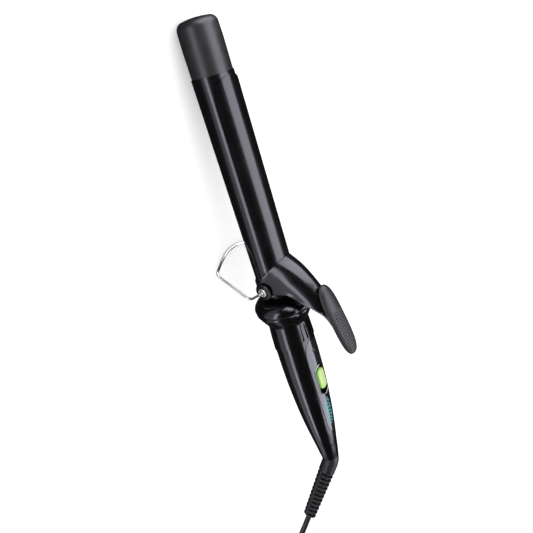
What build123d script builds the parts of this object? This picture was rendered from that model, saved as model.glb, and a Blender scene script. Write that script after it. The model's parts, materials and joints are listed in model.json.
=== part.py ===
from build123d import *
from math import atan2, asin, cos, degrees, hypot, pi, radians, sin, tan
import os

# Spring-clip curling iron with a 32 mm barrel, propped on its wire stand, with its cord coiled.
# The iron is drawn in its own frame: origin on the clip's pivot axis, +X towards the cool tip,
# +Y across, +Z towards the clip. rest() then tips it on to its stand. All sizes in millimetres.

# Barrel and cool tip
barrel_r = 16.0
barrel_wall = 1.0
barrel_back = -6.0
barrel_front = 171.0
tip_r = 15.4
tip_end_r = 15.0
tip_cylinder_end = 193.0
tip_edge_start = 203.0
tip_edge_r = 5.6
tip_length_end = 209.4
tip_wall = 2.2

# Clip: a spoon on the barrel and a lever with two ears
sheet = 0.9
clip_r = 16.25
clip_half_wrap = 57.0
clip_front = 168.8
ear_inner_y = 17.75
ear_r = 5.6
lever_top_half = 9.4
pad_length = 64.0
pad_width = 18.8
pad_thickness = 4.6
pad_tilt = 13.6

# Pivot
eyelet_r = 2.3
eyelet_bore = 1.17
wire_r = 1.1
bracket_outer_y = 17.45

# Handle
collar_r = 25.2
handle_wall = 2.2
band_front = -37.4
band_edge = -60.0
band_slope = 0.25
band_inner_r = 16.3
shell_back = -181.6
end_ring_back = -200.0
swivel_r = 5.0
running_gap = 0.08

# Controls
led_x = -68.0
led_r = 1.8
switch_x = -99.5
button_length = 23.5
button_width = 9.5
button_top = 20.6
switch_travel = 3.0
slot_length = 30.2
slot_width = 10.2
board_z = 7.0

# Strain relief
relief_r = 8.2
relief_end_r = 6.4
relief_gap = 0.4
relief_straight = 0.5
relief_bend_r = 14.0
relief_bend = 39.0
relief_roll = 64.5
relief_ribbed = 59.0
relief_plain = 8.0
relief_ribs = 11
rib_depth = 0.9

# Stand wire, in the iron's own frame, for the +Y side
stand_bend = (-7.6, 21.6, -15.5)
stand_corner = (21.1, 32.0, -33.3)
stand_bow = 11.0

# Cord, plug and coil, in the resting frame
cord_r = 2.8
coil_r = 31.0
coil_bundle_r = 11.1
coil_centre = (-440.8, 24.0)
plug_back = (-481.8, 61.0, 9.4)
plug_length = 32.0
plug_width = 25.0
plug_height = 17.0
plug_neck = 12.0
blade_length = 18.0
blade_spacing = 12.7

# The two things that the iron rests on: the bowed wire and the edge of the cool tip.
leg_angle = atan2(stand_corner[2] - stand_bend[2], stand_corner[0] - stand_bend[0])
bow_x = stand_corner[0] + stand_bow * cos(leg_angle)
bow_z = stand_corner[2] + stand_bow * sin(leg_angle)
edge_x = tip_edge_start
edge_z = tip_edge_r - tip_end_r
rise = edge_z - bow_z
reach = edge_x - bow_x
pitch = atan2(rise, reach) + asin((wire_r - tip_edge_r) / hypot(rise, reach))
pivot_height = wire_r - bow_z * cos(pitch) + bow_x * sin(pitch)
pivot_x = -1.6


def rest(shape):
    return Pos(pivot_x, 0, pivot_height) * Rot(0, degrees(pitch), 0) * shape


def resting_point(x, y, z):
    return (
        pivot_x + x * cos(pitch) + z * sin(pitch),
        y,
        pivot_height + z * cos(pitch) - x * sin(pitch),
    )


def turned(*outline):
    """A solid of revolution about the barrel's axis from (x, radius) corners."""
    return revolve(make_face(Polyline(*outline, close=True)), Axis.X)


def tube(x0, x1, outer, inner):
    return turned((x0, inner), (x1, inner), (x1, outer), (x0, outer))


def block(x0, x1, y0, y1, z0, z1):
    return Pos((x0 + x1) / 2, (y0 + y1) / 2, (z0 + z1) / 2) * Box(x1 - x0, y1 - y0, z1 - z0)


def across(radius, y0, y1, x=0.0, z=0.0):
    """A cylinder along Y."""
    return Pos(x, (y0 + y1) / 2, z) * Rot(90, 0, 0) * Cylinder(radius, y1 - y0)


def along(radius, x0, x1, y=0.0, z=0.0):
    """A cylinder along the barrel's axis."""
    return Pos((x0 + x1) / 2, y, z) * Rot(0, 90, 0) * Cylinder(radius, x1 - x0)


def upright(radius, z0, z1, x, y=0.0):
    return Pos(x, y, (z0 + z1) / 2) * Cylinder(radius, z1 - z0)


def both_sides(shape):
    return Compound(children=[shape, mirror(shape, Plane.XZ)])


# ---- Barrel and cool tip ----


def cool_tip():
    dome_edge_r = tip_end_r - tip_edge_r
    dome_rise = tip_length_end - tip_edge_start - tip_edge_r
    dome_r = (dome_edge_r**2 + dome_rise**2) / (2 * dome_rise)
    dome_centre = tip_length_end - dome_r
    dome_angle = asin(dome_edge_r / dome_r)
    outer = [
        Polyline((barrel_front, 0), (barrel_front, tip_r), (tip_cylinder_end, tip_r)),
        Line((tip_cylinder_end, tip_r), (tip_edge_start, tip_end_r)),
        ThreePointArc(
            (tip_edge_start, tip_end_r),
            (tip_edge_start + tip_edge_r * sin(pi / 4), tip_end_r - tip_edge_r * (1 - cos(pi / 4))),
            (tip_edge_start + tip_edge_r, dome_edge_r),
        ),
        ThreePointArc(
            (tip_edge_start + tip_edge_r, dome_edge_r),
            (dome_centre + dome_r * cos(dome_angle / 2), dome_r * sin(dome_angle / 2)),
            (tip_length_end, 0),
        ),
        Line((tip_length_end, 0), (barrel_front, 0)),
    ]
    body = revolve(make_face(outer), Axis.X)
    hollow_r = tip_end_r - tip_wall
    hollow = turned((barrel_front, 0), (barrel_front, hollow_r), (202, hollow_r), (205, 8), (205, 0))
    return body - hollow


def tip_plug():
    """Phenolic plug that closes the barrel and carries the cool tip on its spigot."""
    inner_r = barrel_r - barrel_wall
    hollow_r = tip_end_r - tip_wall
    return turned(
        (164, 0), (164, inner_r), (barrel_front, inner_r), (barrel_front, hollow_r),
        (180, hollow_r), (180, hollow_r - 2), (167, hollow_r - 2), (167, 0),
    )


def barrel_tube():
    body = tube(barrel_back, barrel_front, barrel_r, barrel_r - barrel_wall)
    return body - across(eyelet_r, -20, 20)


def barrel_end_plate():
    return tube(barrel_back, barrel_back + 1.5, barrel_r - barrel_wall, 8.8)


# ---- Heater inside the barrel ----

heater_back = 28.0
heater_front = 148.0
element_half = 1.6
film = 0.3


def heater_carrier(side):
    """D-shaped aluminium channel that presses the element's heat into the barrel wall."""
    outer_r = barrel_r - barrel_wall - 0.1
    flat = element_half + film
    slab = block(heater_back, heater_front, -20, 20, flat, 20)
    core = block(heater_back, heater_front, -20, 20, flat + 1.4, 20)
    length = heater_front - heater_back
    middle = (heater_front + heater_back) / 2
    shaft = Pos(middle, 0, 0) * Rot(0, 90, 0) * Cylinder(outer_r, length)
    inner = Pos(middle, 0, 0) * Rot(0, 90, 0) * Cylinder(outer_r - 1.4, length)
    carrier = (slab & shaft) - (core & inner)
    return carrier if side > 0 else mirror(carrier, Plane.XY)


def heating_element():
    return block(heater_back + 6, heater_front - 6, -9, 9, -element_half, element_half)


def insulation_film():
    outer = block(heater_back + 2, heater_front - 2, -9.4, 9.4, -element_half - film, element_half + film)
    inner = block(heater_back, heater_front, -9, 9, -element_half, element_half)
    return outer - inner


def thermistor():
    bead = along(1.3, heater_front + 0.5, heater_front + 6)
    return bead + Pos(heater_front + 6, 0, 0) * Sphere(1.3)


def thermal_fuse():
    return along(2.0, 10, 21, y=0, z=4.5)


def heater_leads():
    return both_sides(along(0.7, -62, heater_back + 6, y=4.5, z=-0.85))


# ---- Pivot ----


def pivot_bracket():
    """Steel saddle under the barrel with a boss on each side for the hinge eyelets."""
    saddle = along(barrel_r + 1.2, -5.6, 5.6) & block(-6, 6, -20, 20, -20, 0)
    bosses = across(5.2, -bracket_outer_y, bracket_outer_y)
    return saddle + bosses - along(barrel_r, -8, 8) - across(eyelet_r, -20, 20)


def pivot_eyelets():
    """Hollow rivets: the lever's ears turn on them and the stand's wire turns in them."""
    shank = across(eyelet_r, 13.9, 19.4)
    heads = across(3.4, 13.9, 14.6) + across(3.5, 18.8, 19.4)
    return both_sides(shank + heads - across(eyelet_bore, 13, 21))


# ---- Clip ----


def spoon_outline():
    """Plan of the spoon: half width by distance along the barrel, rounded at the front."""
    side = clip_r * sin(radians(clip_half_wrap)) + 0.6
    half = Spline(
        (clip_front, 0), (clip_front - 1.2, 6.0), (clip_front - 4.6, 11.0),
        (clip_front - 12, side - 0.7), (clip_front - 22, side),
        tangents=((0, 1, 0), (-1, 0, 0)),
    )
    edge = Line((clip_front - 22, side), (16, side))
    curve = [half, edge, Line((16, side), (16, 0)), Line((16, 0), (clip_front, 0))]
    face = make_face(curve)
    return extrude(face, 30) + extrude(mirror(face, Plane.XZ), 30)


def clip_spoon():
    shell = tube(16, clip_front + 1, clip_r + sheet, clip_r)
    return shell & spoon_outline()


# Side view of the lever as (x, z): its top line back from the crease, then its lower edge round the ear.
lever_top = [
    (24.0, 17.2), (17.2, 26.8), (12.0, 31.8), (3.0, 38.8), (-6.0, 44.8), (-14.0, 48.9), (-28.0, 52.7), (-54.0, 59.0),
]
lever_foot = [
    (-26.0, 49.6), (-18.0, 40.0), (-7.0, 26.8), (-2.4, 19.5), (-1.5, 9.0), (-4.0, 3.5), (0, -3.0), (4.5, -3.0),
    (14.5, 4.0), (19.5, 10.5),
]


def lever_ridge(offset):
    """Side view of the lever's top line, lowered by offset, as (x, z) from crease to pad."""
    return [(x, z - offset) for x, z in lever_top]


def side_extrude(points, half_width):
    face = make_face(Polyline(*[(x, 0, z) for x, z in points], close=True))
    return extrude(face, half_width, dir=(0, 1, 0), both=True)


def front_profile(inset):
    """The channel's outer shape seen from the tip: upright ears that lean in towards the pad."""
    foot_y = ear_inner_y + sheet - inset
    top_y = lever_top_half - inset
    points = [
        (-foot_y, -8), (-foot_y, 11), (-top_y - 1.2, 43), (-top_y, 60),
        (top_y, 60), (top_y + 1.2, 43), (foot_y, 11), (foot_y, -8),
    ]
    face = make_face(Polyline(*[(0, y, z) for y, z in points], close=True))
    return extrude(face, 70, dir=(1, 0, 0), both=True)


def clip_lever():
    outer = front_profile(0)
    inner = front_profile(sheet)
    top = side_extrude(lever_ridge(0) + lever_ridge(sheet + 0.3)[::-1], 30) & outer
    flank = lever_top[:-1] + lever_foot
    walls = side_extrude(flank, 30) & (outer - inner)
    ears = across(ear_r, ear_inner_y, ear_inner_y + sheet)
    lever = top + walls + ears + mirror(ears, Plane.XZ)
    room = along(clip_r + sheet, -70, 90)
    hole = across(eyelet_r + 0.06, -30, 30)
    return lever - room - hole


def thumb_pad():
    """Long oval pad on the lever, a little crowned."""
    plate = extrude(SlotOverall(pad_length, pad_width), pad_thickness)
    plate = fillet(plate.edges().group_by(Axis.Z)[-1], 2.0)
    return Pos(-30.8, 0, 53.4) * Rot(0, pad_tilt, 0) * plate


def clip_spring():
    """Bent leaf that pushes the lever's tail up off the neck."""
    front = [(-10.6, 10.9), (-6.4, 10.9), (-11.0, 44.6), (-14.5, 46.8)]
    back = [(-14.9, 46.0), (-11.8, 44.2), (-7.5, 11.7), (-10.6, 11.7)]
    return side_extrude(front + back, 4.5)


# ---- Neck and collar ----


def neck_sleeve():
    return tube(-18, barrel_back, 10.8, 8.8)


def collar_shield():
    outside = Spline((-11.2, 10.9), (-12.9, 16.6), (-15.8, 21.8), (-20.2, collar_r - 0.2))
    rim = Polyline((-20.2, collar_r - 0.2), (-20.8, collar_r), (-21.8, collar_r), (-22.2, 24.6), (-22.2, 22.6))
    inside = Spline((-22.2, 22.6), (-17.8, 20.2), (-14.9, 16.0), (-13.4, 10.9))
    return revolve(make_face([outside, rim, inside, Line((-13.4, 10.9), (-11.2, 10.9))]), Axis.X)


def collar_ring():
    return tube(-23.4, -22.3, 24.0, 20.4)


def collar_base():
    outside = Spline((-26.2, 24.3), (-32.0, 21.3), (band_front, 17.9))
    rim = Polyline((-23.5, 20.4), (-23.5, 24.4), (-24.0, 24.8), (-25.4, 24.8), (-26.2, 24.3))
    inside = Line((-26.0, 20.4), (-23.5, 20.4))
    foot = Polyline((band_front, 17.9), (band_front, band_inner_r), (-35, band_inner_r), (-26.0, 20.4))
    return revolve(make_face([outside, rim, inside, foot]), Axis.X)


# ---- Handle ----

handle_outline = [
    (-30.0, 18.0), (-60.0, 18.2), (-74.0, 18.35), (-88.0, 18.25), (-100.0, 18.0), (-114.0, 17.45),
    (-128.0, 16.65), (-142.0, 15.6), (-156.0, 14.2), (-170.0, 12.5), (-184.0, 10.7), (-196.0, 9.2),
    (-203.0, 8.1),
]


def handle_solid(inset, x0=-203.0, x1=-30.0):
    curve = Spline(*[(x, r - inset) for x, r in handle_outline])
    last_r = handle_outline[-1][1] - inset
    first_r = handle_outline[0][1] - inset
    frame = Polyline((-203.0, last_r), (-203.0, 0), (-30.0, 0), (-30.0, first_r))
    return revolve(make_face([curve, frame]), Axis.X) & block(x0, x1, -30, 30, -30, 30)


def ahead_of_band_edge():
    """Everything on the barrel's side of the band's slanting lower edge."""
    turn = degrees(atan2(band_slope, 1))
    box = Box(90, 80, 80, align=(Align.MIN, Align.CENTER, Align.CENTER))
    return Pos(band_edge, 0, 0) * Rot(0, turn, 0) * box


def handle_band():
    outer = turned((-70, 0), (-70, 18.95), (-60, 18.95), (-50, 18.6), (band_front, 17.9), (band_front, 0))
    band = (outer & ahead_of_band_edge()) - along(band_inner_r, -80, -20)
    for turn in (-22.0, -7.3, 7.3, 22.0):
        groove = Rot(turn, 0, 0) * block(-54.0, -39.0, -0.8, 0.8, 17.3, 20)
        band = band - groove
    return band


def inlay_outline():
    """Pointed at the band, round at the cord end, seen from above."""
    side = Spline(
        (-55.8, 0), (-59.2, 4.8), (-65.0, 8.0), (-76.0, 9.0), (-96.0, 8.8),
        (-120.0, 7.7), (-142.0, 6.3), (-155.0, 5.1), (-161.2, 3.0), (-163.0, 0),
    )
    return extrude(make_face([side, mirror(side, Plane.XZ)]), 30, dir=(0, 0, 1))


def slot(length, width, z0, z1):
    """An upright prism with round ends over the switch."""
    return Pos(switch_x - switch_travel / 2, 0, z0) * extrude(SlotOverall(length, width), z1 - z0)


def control_inlay():
    skin = handle_solid(-0.3) - handle_solid(0.8)
    panel = skin & inlay_outline() - ahead_of_band_edge()
    return panel - slot(slot_length + 2.4, slot_width + 2.4, 0, 30) - upright(led_r, 0, 30, led_x)


def switch_bezel():
    skin = handle_solid(-0.55) - handle_solid(0.8)
    ring = slot(slot_length + 2.4, slot_width + 2.4, 0, 30) - slot(slot_length, slot_width, 0, 30)
    return skin & ring


def cover_region(half_width, x0, x1):
    return block(x0, x1, -half_width, half_width, -30, 0)


def screw_bridges():
    near = block(-84, -76, -20, 20, -8, -3)
    far = block(-166, -158, -20, 20, -6, -2)
    return (near + far) & handle_solid(handle_wall - 0.01)


screw_seats = ((-80.0, 18.3), (-162.0, 13.45))


def handle_screws():
    screws = []
    for x, r in screw_seats:
        head = upright(2.9, -r + 0.7, -r + 2.6, x)
        shank = upright(1.4, -r + 2.6, -4.0 if r > 15 else -3.0, x)
        screws.append(head + shank)
    return Compound(children=screws)


def screw_holes():
    holes = []
    for x, r in screw_seats:
        holes.append(upright(3.1, -r - 2, -r + 2.6, x) + upright(1.55, -r + 2.5, -2.0, x))
    return holes


def handle_shell():
    """The handle's tube, with a spigot inside the band, a pocket for the inlay and an open back."""
    body = handle_solid(0, shell_back, -34.0)
    body = body - (ahead_of_band_edge() - along(band_inner_r, -90, -20))
    body = body - handle_solid(handle_wall + 0.2) - cover_region(8.5, -174, -66) + screw_bridges()
    pocket = (inlay_outline() & block(-170, -50, -12, 12, 5, 20)) - handle_solid(0.8)
    body = body - pocket - slot(slot_length, slot_width, 0, 30) - upright(led_r, 0, 30, led_x)
    for hole in screw_holes():
        body = body - hole
    return body


def handle_cover():
    shell = handle_solid(0) - handle_solid(handle_wall)
    cover = shell & cover_region(8.4, -173.9, -66.1)
    for hole in screw_holes():
        cover = cover - hole
    return cover


def handle_end_ring():
    outer = handle_solid(0, end_ring_back, shell_back - 0.1)
    cavity = along(7.2, -197.2, -180)
    bore = along(swivel_r + running_gap, -210, -190)
    return outer - cavity - bore


# ---- Controls ----


def control_board():
    return block(-150, -63, -8.2, 8.2, board_z, board_z + 1.6)


def board_parts():
    capacitor = along(4.0, -146, -132, z=board_z - 4.2)
    chip = block(-128, -118, -4, 4, board_z + 1.6, board_z + 3.4)
    triac = block(-72, -64, -5, 5, board_z - 4.2, board_z)
    return Compound(children=[capacitor, chip, triac])


def indicator_lamp():
    return upright(1.5, board_z + 1.6, 13.2, led_x) + Pos(led_x, 0, 13.2) * Sphere(1.5)


def lamp_lens():
    return upright(led_r, 15.4, 18.6, led_x) + (Pos(led_x, 0, 17.6) * Sphere(led_r) & upright(led_r, 17, 20, led_x))


def switch_body():
    return Pos(switch_x - switch_travel / 2, 0, board_z + 4.2) * Box(22, 8, 5.2)


def switch_slider():
    """Contact carrier under the button; it moves with it."""
    return Pos(switch_x, 0, 14.6) * Box(7, 4.4, 1.1)


def switch_button():
    body = Pos(switch_x, 0, 15.15) * extrude(SlotOverall(button_length, button_width), button_top - 15.15)
    return fillet(body.edges().group_by(Axis.Z)[-1], 1.2)


def supply_leads():
    return both_sides(along(0.9, -177.0, -150.0, y=3.2, z=3.0))


# ---- Swivel and strain relief ----


def contact_block():
    return along(7.0, -187.0, -177.0) - along(2.0, -190, -170)


def contact_sleeve():
    return tube(-187.0, -178.0, 2.0, 1.5 + running_gap)


def swivel_stem():
    return along(swivel_r, -204.0, -196.6) + along(6.7, -196.9, -191.5) + along(1.5, -191.5, -179.5)


def relief_frame(turn):
    """Where the strain relief points after bending by turn degrees: a plane facing its way."""
    way = radians(turn)
    roll = radians(relief_roll)
    side = (0, sin(roll), -cos(roll))
    aside = relief_bend_r * (1 - cos(way))
    centre = (
        end_ring_back - relief_gap - relief_straight - relief_bend_r * sin(way),
        side[1] * aside,
        side[2] * aside,
    )
    normal = (-cos(way), side[1] * sin(way), side[2] * sin(way))
    return Plane(origin=centre, z_dir=normal)


def strain_relief():
    """Smooth elbow, then a ribbed taper, with the cord's end bedded in it."""
    start = Vector(end_ring_back - relief_gap, 0, 0)
    bend_start = start + Vector(-relief_straight, 0, 0)
    bend_end = relief_frame(relief_bend).origin
    path = Line(start, bend_start) + ThreePointArc(bend_start, relief_frame(relief_bend / 2).origin, bend_end)
    elbow = sweep(Plane(origin=start, z_dir=(-1, 0, 0)) * Circle(relief_r), path=path)
    pitch_along = (relief_ribbed - relief_plain - 1.0) / relief_ribs
    outline = [(0, 0), (0, relief_r), (relief_plain, relief_r - 0.1)]
    for i in range(relief_ribs):
        x = relief_plain + i * pitch_along
        r = relief_r - 0.1 - (relief_r - relief_end_r) * i / (relief_ribs - 1)
        for share, depth in ((0.35, 0.1), (0.45, rib_depth), (0.85, rib_depth), (0.98, 0.15)):
            outline.append((x + share * pitch_along, r - depth))
    outline += [(relief_ribbed - 0.6, relief_end_r), (relief_ribbed, relief_end_r - 0.6), (relief_ribbed, 0)]
    ribs = revolve(make_face(Polyline(*outline, close=True)), Axis.X)
    ribbed = relief_frame(relief_bend).location * (Rot(0, -90, 0) * ribs)
    stem_room = along(swivel_r, -204.0, end_ring_back)
    return elbow + ribbed - stem_room


# ---- Stand ----


def stand_wire():
    bend = Vector(*stand_bend)
    corner = Vector(*stand_corner)
    out = Vector(cos(leg_angle), 0, sin(leg_angle))
    side = [Vector(0, 14.8, 0), Vector(0, 21.6, 0), bend, corner]
    bow = []
    for share, drop in ((0.62, 0.55), (0.22, 1.0)):
        bow.append(Vector(corner.X, corner.Y * share, corner.Z) + out * stand_bow * drop)
    half = side + bow
    points = half + [Vector(p.X, -p.Y, p.Z) for p in half[::-1]]
    radii = [2.0, 5.0, 5.0, 24.0, 30.0]
    path = FilletPolyline(*points, radius=radii + radii[::-1])
    start = Plane(origin=points[0], z_dir=(0, 1, 0))
    return sweep(start * Circle(wire_r), path=path)


# ---- Cord, coil, tie and plug, drawn in the resting frame ----

# From the strain relief down to the table and to the coil, chosen by hand.
lead_route = [
    (-256.4, 35.9, 64.0), (-274.0, 48.2, 60.6), (-295.5, 58.0, 53.2), (-319.5, 64.8, 41.6), (-345.0, 68.4, 26.6),
    (-370.5, 69.6, 12.6), (-394.5, 68.6, 4.4), (-417.8, 65.2, 3.3), (-440.8, 60.9, 5.2),
]
# From the top of the coil to the back of the plug.
tail_route = [(-440.8, 63.3, 11.1), (-462.8, 63.2, 10.6), (-482.8, 61.0, 9.4)]


def corner_radii(points):
    """Each arc is as large as its two runs allow."""
    radii = []
    for before, here, after in zip(points, points[1:], points[2:]):
        arriving = Vector(*here) - Vector(*before)
        leaving = Vector(*after) - Vector(*here)
        half_turn = radians(arriving.get_angle(leaving) / 2)
        radii.append(0.45 * min(arriving.length, leaving.length) / tan(half_turn))
    return radii


def cord_along(name, points):
    radii = corner_radii(points)
    path = FilletPolyline(*[Vector(*p) for p in points], radius=radii)
    start = Plane(origin=points[0], z_dir=path % 0)
    cord = sweep(start * Circle(cord_r), path=path)
    expected = pi * cord_r**2 * path.length
    print(name, "length", round(path.length, 1), "volume ratio", round(cord.volume / expected, 4))
    print(name, "radii", [round(r, 1) for r in radii])
    return cord


def cord_coil():
    """Outer shape of about eight turns wound side by side."""
    return Pos(coil_centre[0], coil_centre[1], coil_bundle_r) * Torus(coil_r, coil_bundle_r)


def cord_tie():
    """Soft strap round the bundle of turns; open underneath, where the coil lies."""
    ring = Torus(coil_r, coil_bundle_r + 1.1) - Torus(coil_r, coil_bundle_r)
    wedge = block(0, 60, -7, 7, -8.8, 20)
    return Pos(coil_centre[0], coil_centre[1], coil_bundle_r) * Rot(0, 0, -70) * (ring & wedge)


def plug_body():
    x, y, z = plug_back
    body = Pos(x - plug_neck + 1 - plug_length / 2, y, z) * Box(plug_length, plug_width, plug_height)
    body = fillet(body.edges().filter_by(Axis.X), 5)
    body = fillet(body.edges().group_by(Axis.X)[0], 1.5)
    neck = Pos(x - plug_neck / 2, y, z) * Rot(0, -90, 0) * Cone(4.3, 6.2, plug_neck)
    return body + neck


def plug_blades():
    x, y, z = plug_back
    blade = Pos(x - plug_neck - plug_length - 6, y + blade_spacing / 2, z) * Box(blade_length, 1.5, 6.3)
    return Compound(children=[blade, Pos(0, -blade_spacing, 0) * blade])


iron_parts = {
    "cool_tip": cool_tip,
    "tip_plug": tip_plug,
    "barrel_tube": barrel_tube,
    "barrel_end_plate": barrel_end_plate,
    "heater_carrier_upper": lambda: heater_carrier(1),
    "heater_carrier_lower": lambda: heater_carrier(-1),
    "heating_element": heating_element,
    "insulation_film": insulation_film,
    "thermistor": thermistor,
    "thermal_fuse": thermal_fuse,
    "heater_leads": heater_leads,
    "pivot_bracket": pivot_bracket,
    "pivot_eyelets": pivot_eyelets,
    "clip_spoon": clip_spoon,
    "clip_lever": clip_lever,
    "thumb_pad": thumb_pad,
    "clip_spring": clip_spring,
    "neck_sleeve": neck_sleeve,
    "collar_shield": collar_shield,
    "collar_ring": collar_ring,
    "collar_base": collar_base,
    "handle_band": handle_band,
    "handle_shell": handle_shell,
    "handle_cover": handle_cover,
    "handle_screws": handle_screws,
    "handle_end_ring": handle_end_ring,
    "control_inlay": control_inlay,
    "switch_bezel": switch_bezel,
    "control_board": control_board,
    "board_parts": board_parts,
    "indicator_lamp": indicator_lamp,
    "lamp_lens": lamp_lens,
    "switch_body": switch_body,
    "switch_slider": switch_slider,
    "switch_button": switch_button,
    "supply_leads": supply_leads,
    "contact_block": contact_block,
    "contact_sleeve": contact_sleeve,
    "swivel_stem": swivel_stem,
    "strain_relief": strain_relief,
    "stand_wire": stand_wire,
}

cord_parts = {
    "cord_lead": lambda: cord_along("cord_lead", lead_route),
    "cord_coil": cord_coil,
    "cord_tail": lambda: cord_along("cord_tail", tail_route),
    "cord_tie": cord_tie,
    "plug_body": plug_body,
    "plug_blades": plug_blades,
}

os.makedirs("parts", exist_ok=True)
for name, make in iron_parts.items():
    export_step(rest(make()), "parts/" + name + ".step")
for name, make in cord_parts.items():
    export_step(make(), "parts/" + name + ".step")

relief_end = relief_frame(relief_bend).origin + relief_frame(relief_bend).z_dir * relief_ribbed
print("pitch", round(degrees(pitch), 3), "pivot", [round(v, 3) for v in resting_point(0, 0, 0)])
print("cord leaves at", [round(v, 2) for v in resting_point(*relief_end)])
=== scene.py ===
import json
import math

import bmesh
import bpy
import numpy as np
from mathutils import Matrix, Quaternion, Vector


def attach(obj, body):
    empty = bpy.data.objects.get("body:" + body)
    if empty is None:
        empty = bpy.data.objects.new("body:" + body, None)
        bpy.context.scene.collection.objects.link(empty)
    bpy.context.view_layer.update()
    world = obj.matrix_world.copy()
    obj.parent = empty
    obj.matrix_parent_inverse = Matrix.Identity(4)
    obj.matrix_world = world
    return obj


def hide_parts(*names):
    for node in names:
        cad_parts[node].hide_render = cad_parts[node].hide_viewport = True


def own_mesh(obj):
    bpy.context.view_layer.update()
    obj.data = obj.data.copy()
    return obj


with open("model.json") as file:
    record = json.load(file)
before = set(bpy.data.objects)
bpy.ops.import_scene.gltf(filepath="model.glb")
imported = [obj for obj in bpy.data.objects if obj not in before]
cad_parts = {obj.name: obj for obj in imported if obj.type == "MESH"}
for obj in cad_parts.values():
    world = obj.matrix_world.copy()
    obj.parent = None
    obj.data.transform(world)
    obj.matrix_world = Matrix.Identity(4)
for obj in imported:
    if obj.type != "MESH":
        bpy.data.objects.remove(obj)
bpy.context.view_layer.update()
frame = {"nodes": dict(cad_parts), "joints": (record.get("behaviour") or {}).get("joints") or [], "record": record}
print("curling iron: frame loaded, nodes", len(frame["nodes"]))

# The iron rests tip down, so its own frame is turned about the clip's hinge.
joints = {j["name"]: j for j in frame["joints"]}
hinge = np.array(joints["clip_hinge"]["pos_m"])
swivelWay = joints["cord_swivel"]["axis"]
pitch = math.atan2(swivelWay[2], -swivelWay[0])
mm = 0.001


def place(points):
    # From the iron's own frame in mm (x along the barrel from the hinge) to the resting frame in m:
    # a turn by pitch about the hinge.
    p = np.asarray(points, float)
    x = p[..., 0] * math.cos(pitch) + p[..., 2] * math.sin(pitch)
    z = p[..., 2] * math.cos(pitch) - p[..., 0] * math.sin(pitch)
    return np.stack([x * mm + hinge[0], p[..., 1] * mm, z * mm + hinge[2]], axis=-1)


view = dict(
    place=(0.2285, 0.283, 0.2966),
    target=(0.0184, 0.0097, 0.045),
    roll=103.56,  # degrees about the line of sight
    lens=35.46,
    clip=0.01,
)


def linear(hexColour):
    # sRGB hex to linear RGBA, by the sRGB standard's own curve.
    parts = [int(hexColour[i : i + 2], 16) / 255 for i in (1, 3, 5)]
    return [c / 12.92 if c <= 0.04045 else ((c + 0.055) / 1.055) ** 2.4 for c in parts] + [1.0]


def addCamera():
    data = bpy.data.cameras.new("camera")
    data.lens = view["lens"]
    data.clip_start = view["clip"]
    cam = bpy.data.objects.new("camera", data)
    bpy.context.scene.collection.objects.link(cam)
    ahead = Vector(view["target"]) - Vector(view["place"])
    turn = ahead.to_track_quat("-Z", "Y") @ Quaternion((0, 0, 1), math.radians(view["roll"]))
    cam.location = view["place"]
    cam.rotation_mode = "QUATERNION"
    cam.rotation_quaternion = turn
    bpy.context.scene.camera = cam


def addLamp(name, size, at, towards, power, along=(1, 0, 0), colour="#ffffff"):
    data = bpy.data.lights.new(name, "AREA")
    data.shape = "RECTANGLE"
    data.size, data.size_y = size
    data.energy = power
    data.color = linear(colour)[:3]
    lamp = bpy.data.objects.new(name, data)
    bpy.context.scene.collection.objects.link(lamp)
    lamp.location = at
    # Lamps only draw highlights; the even light comes from the room.
    lamp.visible_camera = False
    lamp.visible_diffuse = False
    # A lamp shines along its own -Z, and its second side lies along the given direction.
    back = (Vector(at) - Vector(towards)).normalized()
    long = (Vector(along) - back * back.dot(Vector(along))).normalized()
    lamp.rotation_mode = "QUATERNION"
    lamp.rotation_quaternion = Matrix([long.cross(back), long, back]).transposed().to_quaternion()
    return lamp


lamps = dict(
    overhead=dict(
        size=(0.75, 1.7),
        at=(-0.25, -0.2, 0.9),
        towards=(-0.25, 0, 0.03),
        power=13.0,
        colour="#f0f1ff",
    ),
    tipSide=dict(
        size=(0.8, 1.3),
        at=(0.8, -0.2, 0.45),
        towards=(0, 0, 0.07),
        along=(0, 1, 0),
        power=12.5,
        colour="#eeeffc",
    ),
    frontStrip=dict(
        size=(0.12, 1.3),
        at=(-0.25, 0.5, 0.05),
        towards=(-0.25, 0, 0.035),
        power=1.9,
        colour="#efefff",
    ),
    lowCard=dict(
        size=(0.3, 1.1),
        at=(-0.25, 0.22, 0.002),
        towards=(-0.25, 0.22, 1.0),
        power=0.6,
        colour="#efefff",
    ),
)
room = dict(
    white=1.3,  # what lights the matte surfaces
    flagged=0.02,  # what the gloss sees of the room
    glow=0.3,  # lifts the sweep to plain white, as under-lighting does
    paper="#f6f6f6",
    paperFlagged="#222226",
    paperHalf=6.0,
)


def flaggedPaper():
    # White paper sweep: flat white. Black flags keep most of it out of the gloss, as a studio does
    # for black goods.
    mat = material("white paper sweep", room["paper"], rough=0.9, specular=0.0)
    ray = addNode(mat, "ShaderNodeLightPath")
    tone = addNode(
        mat,
        "ShaderNodeMix",
        {"data_type": "RGBA", 6: linear(room["paper"]), 7: linear(room["paperFlagged"])},
        {0: (ray, "Is Glossy Ray")},
    )
    skin = mat.node_tree.nodes["Principled BSDF"]
    mat.node_tree.links.new(tone.outputs[2], skin.inputs["Base Color"])
    mat.node_tree.links.new(tone.outputs[2], skin.inputs["Emission Color"])
    skin.inputs["Emission Strength"].default_value = room["glow"]
    return mat


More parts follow.
